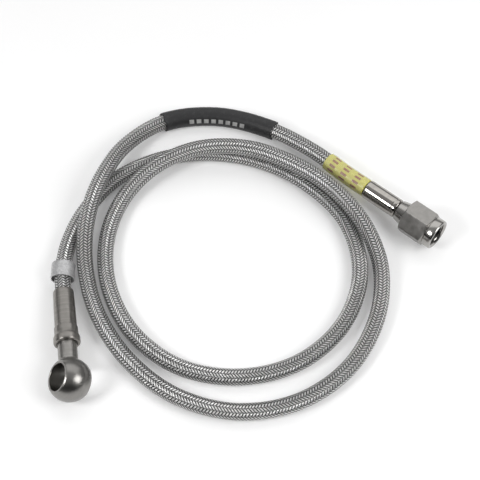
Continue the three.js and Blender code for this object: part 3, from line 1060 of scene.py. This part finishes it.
class BuildBanjo(bpy.types.Operator):
    """Turn the banjo end: the ball with its cross bore, and the neck that grows out of it"""

    bl_idname = "hose.build_banjo"
    bl_label = "Banjo"

    def execute(self, context):
        _, colours, _ = settings(context)
        ball_steel = steel_finish(
            "fitting_steel", shade(colours.steel, 0.78), 0.3, 9.0, 0.002, mottle=0.05
        )
        neck_steel = steel_finish("neck_steel", colours.steel, 0.34, 5.0, 0.01, stretch=0.7)
        eye = grid_piece("banjo_eye", *eye_grid(), "hose", sharp=35)
        drill_through(eye, banjo_bench, FLUID_BORE / 2, 1.0, EYE_BORE / 2 + 1.2)
        neck_rows = round_rows(neck_section(), NECK_COLUMNS)
        neck = lathe_piece("banjo_neck", *neck_rows, banjo_bench, "hose", sharp=35)
        for piece, steel in ((eye, ball_steel), (neck, neck_steel)):
            piece.data.materials.clear()
            piece.data.materials.append(steel)
            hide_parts("banjo_fitting")
        return {"FINISHED"}


def banjo_collar_rows(columns):
    """Rows of the banjo's collar: a rolled lip, a lower step, then a taper pressed into
    flats. There the radius is the lesser of the taper's and the flats', and it is eased in
    over a short length."""
    lip, step = BANJO_LIP_DIAMETER / 2, BANJO_STEP_DIAMETER / 2
    crimp, crimp_end = CRIMP_DIAMETER / 2, CRIMP_END_DIAMETER / 2
    front, back = BANJO_COLLAR_START, BANJO_COLLAR_END
    lip_back, step_end = front + BANJO_LIP_LENGTH, front + BANJO_STEP_END
    neck_hole, hose_hole = NECK_DIAMETER / 2 + FIT, HOSE_DIAMETER / 2 + COLLAR_CLEARANCE
    spigot_hole = SPIGOT_DIAMETER / 2 + FIT
    section = rounded(
        [
            (neck_hole, front),
            (lip - 0.55, front),
            (lip - 0.12, front + 0.3),
            (lip, front + 0.75),
            (lip, lip_back - 0.7),
            (step + 0.12, lip_back + 0.4),
            (step, lip_back + 1.2),
            (step, step_end - 0.6),
            (crimp, step_end + 0.2),
            ((crimp + crimp_end) / 2, (step_end + back) / 2),
            (crimp_end, back - 0.6),
            (crimp_end - 0.15, back - 0.1),
            (crimp_end - 0.4, back),
            (hose_hole, back),
            (hose_hole, BANJO_LIP_END),
            (spigot_hole, BANJO_LIP_END),
            (spigot_hole, BANJO_LIP_START),
            (neck_hole, BANJO_LIP_START),
        ],
        0.22,
    )
    radii, heights = round_rows(section, columns)
    side = TURN / CRIMP_FLATS
    off_flat = np.abs((column_angles(columns) + side / 2) % side - side / 2)
    flat = CRIMP_FLAT_WIDTH / 2 / np.cos(off_flat)
    pressed = np.clip((heights - step_end + PRESS_START) / PRESS_EASE, 0, 1)
    limit = flat[None, :] * pressed + radii * (1 - pressed)
    outside = radii > hose_hole + 0.3
    return np.where(outside, np.minimum(radii, limit), radii), heights


def nut_collar_section():
    """Closed section of the nut end's collar: smooth, with a rolled edge toward the nut."""
    outer, hose_hole = NUT_COLLAR_DIAMETER / 2, HOSE_DIAMETER / 2 + COLLAR_CLEARANCE
    neck_hole = STEM_NECK_DIAMETER / 2 + FIT
    spigot_hole = STEM_SPIGOT_DIAMETER / 2 + FIT
    end = NUT_COLLAR_LENGTH
    return rounded(
        [
            (hose_hole, 0),
            (outer - 0.3, 0),
            (outer - 0.06, 0.2),
            (outer, 0.6),
            (outer, end - 2.4),
            (outer - 0.1, end - 2.0),
            (outer, end - 1.6),
            (outer, end - 0.8),
            (outer - 0.15, end - 0.28),
            (outer - 0.6, end),
            (neck_hole, end),
            (neck_hole, NUT_LIP_END),
            (spigot_hole, NUT_LIP_END),
            (spigot_hole, NUT_LIP_START),
            (hose_hole, NUT_LIP_START),
        ],
        0.2,
    )


class BuildCollars(bpy.types.Operator):
    """Turn the two crimped collars that hold the hose on its fittings"""

    bl_idname = "hose.build_collars"
    bl_label = "Collars"

    def execute(self, context):
        _, colours, _ = settings(context)
        banjo_steel = steel_finish(
            "collar_steel", shade(colours.collar, 0.74), 0.34, 4.0, 0.03, stretch=0.75
        )
        nut_steel = steel_finish("bright_collar", colours.collar, 0.07, 12.0, 0.0005, stretch=0.15)
        banjo_rows = banjo_collar_rows(BANJO_COLLAR_COLUMNS)
        banjo = lathe_piece("banjo_collar", *banjo_rows, banjo_bench, "hose", sharp=40)
        nut_rows = round_rows(nut_collar_section(), NUT_COLLAR_COLUMNS)
        nut = lathe_piece("nut_collar", *nut_rows, nut_bench, "hose", sharp=40)
        for piece, node, steel in (
            (banjo, "banjo_ferrule", banjo_steel),
            (nut, "nut_ferrule", nut_steel),
        ):
            piece.data.materials.append(steel)
            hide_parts(node)
        return {"FINISHED"}


def stem_section():
    """Closed section of the stem that holds the nut: tail, spigot, neck, and a coned head."""
    seat, shoulder = NUT_SEAT + FIT, NUT_LIP_END + FIT
    head_front = seat + HEAD_THICKNESS
    tip = head_front + HEAD_CONE_LENGTH
    tail_start, tail_end = NUT_LIP_START - TAIL_LENGTH, NUT_LIP_START
    bore, tail = FLUID_BORE / 2, TAIL_DIAMETER / 2
    neck, spigot = STEM_NECK_DIAMETER / 2, STEM_SPIGOT_DIAMETER / 2
    head = THREAD_DIAMETER / 2 - FIT * 2
    return rounded(
        [
            (bore, tail_start),
            (tail, tail_start),
            (tail, tail_end),
            (spigot, tail_end),
            (spigot, shoulder),
            (neck, shoulder),
            (neck, seat),
            (head, seat),
            (head, head_front),
            (bore + CONE_TIP_WALL, tip),
            (bore + CONE_TIP_CHAMFER, tip),
            (bore, tip - CONE_TIP_CHAMFER),
        ],
        0.12,
    )


def hex_nut_rows(sizes, columns):
    """Rows of the nut. Round rows have one radius; on the hexagon the radius is the flat's
    distance over the cosine of the angle from the flat's middle, a little worn at the
    corners, and its chamfer's height follows that radius, so the chamfer's edge lies on the
    grid. The bore's radius grows by a triangle wave of the height less a pitch for each
    turn, which is the thread."""
    angles = column_angles(columns)
    side = TURN / 6
    corner = HEX_WIDTH / 2 / math.cos(side / 2)
    hexagon = HEX_WIDTH / 2 / np.cos(np.abs(angles % side - side / 2))
    hexagon = np.minimum(hexagon, corner * CORNER_WEAR)
    face = HEX_WIDTH / 2 - 0.2
    rise = (hexagon - face) * math.tan(math.radians(HEX_CHAMFER))
    rear, front = SHOULDER_REAR_DIAMETER / 2, SHOULDER_FRONT_DIAMETER / 2
    nose, bore = NOSE_DIAMETER / 2, STEM_NECK_DIAMETER / 2 + FIT
    thread, thread_start = THREAD_DIAMETER / 2, NUT_MOUTH - MOUTH_CHAMFER
    mouth = thread + MOUTH_CHAMFER
    rows = [
        (bore, NUT_REAR + 0.2),
        (bore + 0.2, NUT_REAR),
        (rear - 0.35, NUT_REAR),
        (rear - 0.1, NUT_REAR + 0.1),
        (rear, NUT_REAR + 0.35),
        (front - 0.06, HEX_REAR - 0.3),
        (front + 0.05, HEX_REAR - 0.06),
        (front + 0.3, HEX_REAR),
        (face - 0.05, HEX_REAR),
        (face + 0.02, HEX_REAR + 0.02),
        (hexagon - 0.05, HEX_REAR + rise),
        (hexagon, HEX_REAR + rise + 0.08),
        (hexagon, HEX_REAR + 2.6),
        (hexagon, (HEX_REAR + HEX_FRONT) / 2),
        (hexagon, HEX_FRONT - 2.6),
        (hexagon, HEX_FRONT - rise - 0.08),
        (hexagon - 0.05, HEX_FRONT - rise),
        (face + 0.02, HEX_FRONT - 0.02),
        (face, HEX_FRONT + 0.02),
        (nose - 0.1, HEX_FRONT + 0.1),
        (nose, HEX_FRONT + 0.3),
        (nose, NUT_MOUTH - 0.75),
        (nose - 0.06, NUT_MOUTH - 0.35),
        (nose - 0.22, NUT_MOUTH - 0.1),
        (nose - 0.45, NUT_MOUTH),
        (mouth + 0.05, NUT_MOUTH),
        (mouth - 0.03, NUT_MOUTH - 0.04),
    ]
    outside = [[np.broadcast_to(value, columns) for value in row] for row in rows]
    steps = np.arange(thread_start, NUT_SEAT + THREAD_RUNOUT, -THREAD_PITCH / STEPS_A_PITCH)
    down = steps[:, None] + np.zeros((1, columns))
    wave = (down / THREAD_PITCH - angles / TURN) % 1.0
    tooth = np.clip((1 - np.abs(2 * wave - 1)) * TOOTH_SLOPE - TOOTH_ROOT, 0, 1)
    fade = np.clip((thread_start - down) / THREAD_LEAD, 0, 1)
    fade = fade * np.clip((down - NUT_SEAT - THREAD_RUNOUT) / THREAD_RUNOUT, 0, 1)
    grooved = thread + sizes.thread_depth / MM * tooth * fade
    seat_radii = [np.full(columns, thread), np.full(columns, bore)]
    radii = np.vstack([[row[0] for row in outside], grooved, seat_radii])
    heights = np.vstack([[row[1] for row in outside], down, np.full((2, columns), NUT_SEAT)])
    return radii, heights


class BuildNutEnd(bpy.types.Operator):
    """Turn the stem and the swivel nut, with its chamfered hexagon and its inner thread"""

    bl_idname = "hose.build_nut"
    bl_label = "Swivel nut"

    def execute(self, context):
        sizes, colours, _ = settings(context)
        # Painted shade: the stem's steel is darkened to two fifths, so that its head deep in the
        # nut's bore reads as shade.
        shaded_stem_steel = steel_finish("shaded_stem_steel", shade(colours.steel, 0.4), 0.5, 12.0, 0.01)
        stem_rows = round_rows(stem_section(), STEM_COLUMNS)
        stem = lathe_piece("nut_core", *stem_rows, nut_bench, "hose", sharp=35)
        stem.data.materials.append(shaded_stem_steel)
        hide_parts("nut_stem")
        nut_steel = steel_finish("nut_steel", shade(colours.steel, 0.95), 0.32, 7.0, 0.004)
        radii, heights = hex_nut_rows(sizes, NUT_COLUMNS)
        # The rows run from the rear over the outside, so the threaded ones are past a quarter.
        threaded = (radii < NOSE_DIAMETER / 2 - 0.8) & (heights > NUT_SEAT - 0.1)
        threaded &= (np.arange(len(radii)) > len(radii) / 4)[:, None]
        flats = (heights > HEX_REAR - 0.01) & (heights < HEX_FRONT + 0.05)
        # The inside mark darkens the thread with painted shade, as shade in the nut's bore.
        marks = {"inside": threaded, "bright": ~threaded & ~flats}
        nut = lathe_piece(
            "hex_nut", radii, heights, nut_bench, "nut", roll=NUT_ROLL, marks=marks, sharp=28
        )
        nut.data.materials.append(nut_steel)
        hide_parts("swivel_nut")
        return {"FINISHED"}


def wrap_piece(name, start, end, inner, outer, rows, ragged=0.0, lumps=0.0):
    """A sleeve round the hose: rows out along it and back inside. The outside's radius is
    stirred by products and sums of sine waves that die away at the ends, and the ends are
    set in and out by a sum of sine waves round the hose."""
    angles = column_angles(WRAP_COLUMNS)
    edge = sum(size * np.sin(count * angles + phase) for size, count, phase in EDGE_WAVES)
    t = np.linspace(0, 1, rows)[:, None]
    first = start + ragged * (1 + edge) / 2
    last = end - ragged * (1 - edge[::-1]) / 2
    out_places = first * (1 - t) + last * t
    stir = (
        np.sin(9 * angles + 60 * t + 1.0) * np.sin(41 * t * 3 + 2 * angles)
        + 0.6 * np.sin(5 * angles - 97 * t)
        + 0.4 * np.sin(2 * angles + 23 * t)
    )
    ease = np.clip(np.minimum(t, 1 - t) * rows / EASE_ROWS, 0, 1)
    out_radii = outer - lumps * (0.5 + 0.25 * stir) * ease - END_THINNING * (1 - ease)
    places = np.vstack([out_places, out_places[::-1]])
    radii = np.vstack([out_radii, np.full_like(out_radii, inner)])
    points = route.shell(places, angles[None, :] + np.zeros_like(places), radii)
    return grid_piece(name, points, closed_chart(places - start), "hose", sharp=50)


class BuildWraps(bpy.types.Operator):
    """Wrap the hose in its black sleeve, its yellow label and the clear film over the label"""

    bl_idname = "hose.build_wraps"
    bl_label = "Sleeve and label"

    def execute(self, context):
        _, colours, _ = settings(context)
        label_end = route.length - NUT_HOSE_END - FIT
        label_start = label_end - LABEL_LENGTH
        sleeve_end = label_end - SLEEVE_GAP
        outer = SLEEVE_DIAMETER / 2
        sleeve = wrap_piece(
            "shrink_sleeve",
            sleeve_end - SLEEVE_LENGTH,
            sleeve_end,
            outer - SLEEVE_WALL,
            outer,
            SLEEVE_ROWS,
            ragged=0.7,
            lumps=0.08,
        )
        sleeve.data.materials.append(sleeve_finish(colours))
        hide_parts("black_sleeve")
        label = wrap_piece(
            "label_wrap",
            label_start,
            label_end,
            LABEL_INNER_RADIUS,
            LABEL_INNER_RADIUS + LABEL_THICKNESS,
            LABEL_ROWS,
        )
        label.data.materials.append(label_finish(colours))
        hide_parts("label_band")
        film = wrap_piece(
            "label_film",
            label_start,
            label_end,
            COVER_INNER_RADIUS,
            COVER_INNER_RADIUS + LABEL_THICKNESS,
            LABEL_ROWS,
            ragged=0.3,
            lumps=0.05,
        )
        film.data.materials.append(film_finish())
        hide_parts("label_cover")
        return {"FINISHED"}


class BuildTag(bpy.types.Operator):
    """Roll the loose metal ring that lies round the hose beside the banjo"""

    bl_idname = "hose.build_tag"
    bl_label = "Tag"

    def execute(self, context):
        _, colours, _ = settings(context)
        outer, half = TAG_DIAMETER / 2, TAG_LENGTH / 2
        section = rounded(
            [
                (outer - TAG_WALL, -half),
                (outer, -half),
                (outer, -half * 0.4),
                (outer, half * 0.4),
                (outer, half),
                (outer - TAG_WALL, half),
            ],
            0.12,
        )
        centre = route.read(route.line, np.array(TAG_PLACE))
        along = route.read(route.slopes, np.array(TAG_PLACE))
        centre[2], along[2] = outer, 0.0
        bench = Bench(centre, along / np.linalg.norm(along))
        rows = round_rows(section, TAG_COLUMNS)
        tag = lathe_piece("id_ring", *rows, bench, "hose", sharp=40)
        tag.data.materials.append(tag_finish(colours))
        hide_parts("id_tag")
        return {"FINISHED"}


class DeclareCord(bpy.types.Operator):
    """Does nothing: the hose is not declared as a cord here"""

    bl_idname = "hose.declare_cord"
    bl_label = "Declare the cord"

    def execute(self, context):
        return {"FINISHED"}


class BuildStage(bpy.types.Operator):
    """Set the camera, the pale floor, the plain surroundings and the soft lamps"""

    bl_idname = "hose.build_stage"
    bl_label = "Camera and stage"

    def execute(self, context):
        _, _, studio = settings(context)
        scene = context.scene
        add_camera(scene, studio)
        add_floor(scene, studio.paper_glow)
        add_sky(scene, studio)
        add_lamp("lamp_side", SIDE_LAMP_PLACE, SIDE_LAMP_SIZE, studio.side_power)
        add_lamp(
            "lamp_back", BACK_LAMP_PLACE, BACK_LAMP_SIZE, studio.back_power, BACK_LAMP_WIDTH
        )
        add_lamp("lamp_left", LEFT_LAMP_PLACE, LEFT_LAMP_SIZE, studio.left_power)
        scene.view_settings.view_transform = "Standard"
        return {"FINISHED"}


def add_camera(scene, studio):
    """A camera that looks along +Y and down on its target, level from side to side."""
    rise = studio.camera_elevation
    target = np.array(studio.camera_target)
    back = np.array([0.0, -math.cos(rise), math.sin(rise)]) * studio.camera_distance
    data = bpy.data.cameras.new("camera")
    data.lens = studio.camera_lens
    data.sensor_width = 36.0
    data.clip_start = 0.01
    camera = bpy.data.objects.new("camera", data)
    camera.location = target + back
    camera.rotation_euler = (math.pi / 2 - rise, 0.0, 0.0)
    scene.collection.objects.link(camera)
    scene.camera = camera


def add_floor(scene, paper_glow):
    """A level square under the hose, pale, with a little of its own light for the camera."""
    mesh = bpy.data.meshes.new("floor")
    signs = ((-1, -1), (1, -1), (1, 1), (-1, 1))
    corners = [(x * FLOOR_HALF, y * FLOOR_HALF, FLOOR_HEIGHT) for x, y in signs]
    mesh.from_pydata(corners, [], [(0, 1, 2, 3)])
    floor = bpy.data.objects.new("floor", mesh)
    scene.collection.objects.link(floor)
    material, tree, shader = tree_of("floor_paper")
    grain = noise_output(tree, object_output(tree), 30.0)
    ray = add_node(tree, "ShaderNodeLightPath").outputs
    seen = math_output(tree, "MAXIMUM", ray["Is Camera Ray"], ray["Is Glossy Ray"])
    seen = math_output(tree, "MAXIMUM", seen, ray["Is Transmission Ray"])
    sources = {
        "Base Color": blended(tree, grain, (0.86, 0.86, 0.86), (0.88, 0.88, 0.88)),
        "Roughness": 0.9,
        "Specular IOR Level": 0.1,
        "Emission Color": (1.0, 1.0, 1.0, 1.0),
        "Emission Strength": math_output(tree, "MULTIPLY", seen, paper_glow),
    }
    plug(tree, shader, sources)
    mesh.materials.append(material)


def add_sky(scene, studio):
    """Plain surroundings, dim in front and brighter up behind: their strength grows with
    the cosine of the angle from the bright side."""
    world = bpy.data.worlds.new("surroundings")
    scene.world = world
    world.use_nodes = True
    tree = world.node_tree
    sky = next(node for node in tree.nodes if node.type == "BACKGROUND")
    toward = add_node(tree, "ShaderNodeTexCoord").outputs["Generated"]
    both = {0: toward, 1: BRIGHT_SIDE}
    behind = add_node(tree, "ShaderNodeVectorMath", both, operation="DOT_PRODUCT")
    lit = ranged(tree, behind.outputs["Value"], 0.0, 1.0, studio.front_level, studio.back_level)
    plug(tree, sky, {"Color": (1.0, 1.0, 1.0, 1.0), "Strength": lit})


def add_lamp(name, place, size, power, width=None):
    """A soft lamp that faces the middle of the floor, square where no width is given."""
    data = bpy.data.lights.new(name, "AREA")
    data.shape = "RECTANGLE"
    data.size = (width or size) * MM
    data.size_y = size * MM
    data.energy = power
    lamp = bpy.data.objects.new(name, data)
    where = np.array(place) * MM
    lamp.location = where
    lamp.rotation_mode = "QUATERNION"
    lamp.rotation_quaternion = Vector(where).to_track_quat("Z", "Y")
    bpy.context.scene.collection.objects.link(lamp)


class HosePanel(bpy.types.Panel):
    """The sizes, the colours and the stage settings, with a button for each step"""

    bl_idname = "VIEW3D_PT_brake_hose"
    bl_label = "Brake Hose"
    bl_space_type = "VIEW_3D"
    bl_region_type = "UI"
    bl_category = "Brake Hose"

    def draw(self, context):
        for group in settings(context):
            box = self.layout.box()
            for name in group.__annotations__:
                box.prop(group, name)
        for operator in OPERATORS:
            self.layout.operator(operator.bl_idname)


OPERATORS = (
    BuildStage,
    BuildBraid,
    BuildBanjo,
    BuildCollars,
    BuildNutEnd,
    BuildWraps,
    BuildTag,
    DeclareCord,
)
GROUPS = (HoseSizes, HoseColours, StudioSettings)


def register():
    for item in (*GROUPS, *OPERATORS, HosePanel):
        bpy.utils.register_class(item)
    bpy.types.Scene.hose_sizes = bpy.props.PointerProperty(type=HoseSizes)
    bpy.types.Scene.hose_colours = bpy.props.PointerProperty(type=HoseColours)
    bpy.types.Scene.hose_studio = bpy.props.PointerProperty(type=StudioSettings)


def unregister():
    del bpy.types.Scene.hose_sizes
    del bpy.types.Scene.hose_colours
    del bpy.types.Scene.hose_studio
    for item in (HosePanel, *reversed(OPERATORS), *reversed(GROUPS)):
        bpy.utils.unregister_class(item)


def main():
    register()
    bpy.ops.hose.build_stage()
    bpy.ops.hose.build_braid()
    bpy.ops.hose.build_banjo()
    bpy.ops.hose.build_collars()
    bpy.ops.hose.build_nut()
    bpy.ops.hose.build_wraps()
    bpy.ops.hose.build_tag()
    bpy.ops.hose.declare_cord()


if __name__ == "__main__":
    main()
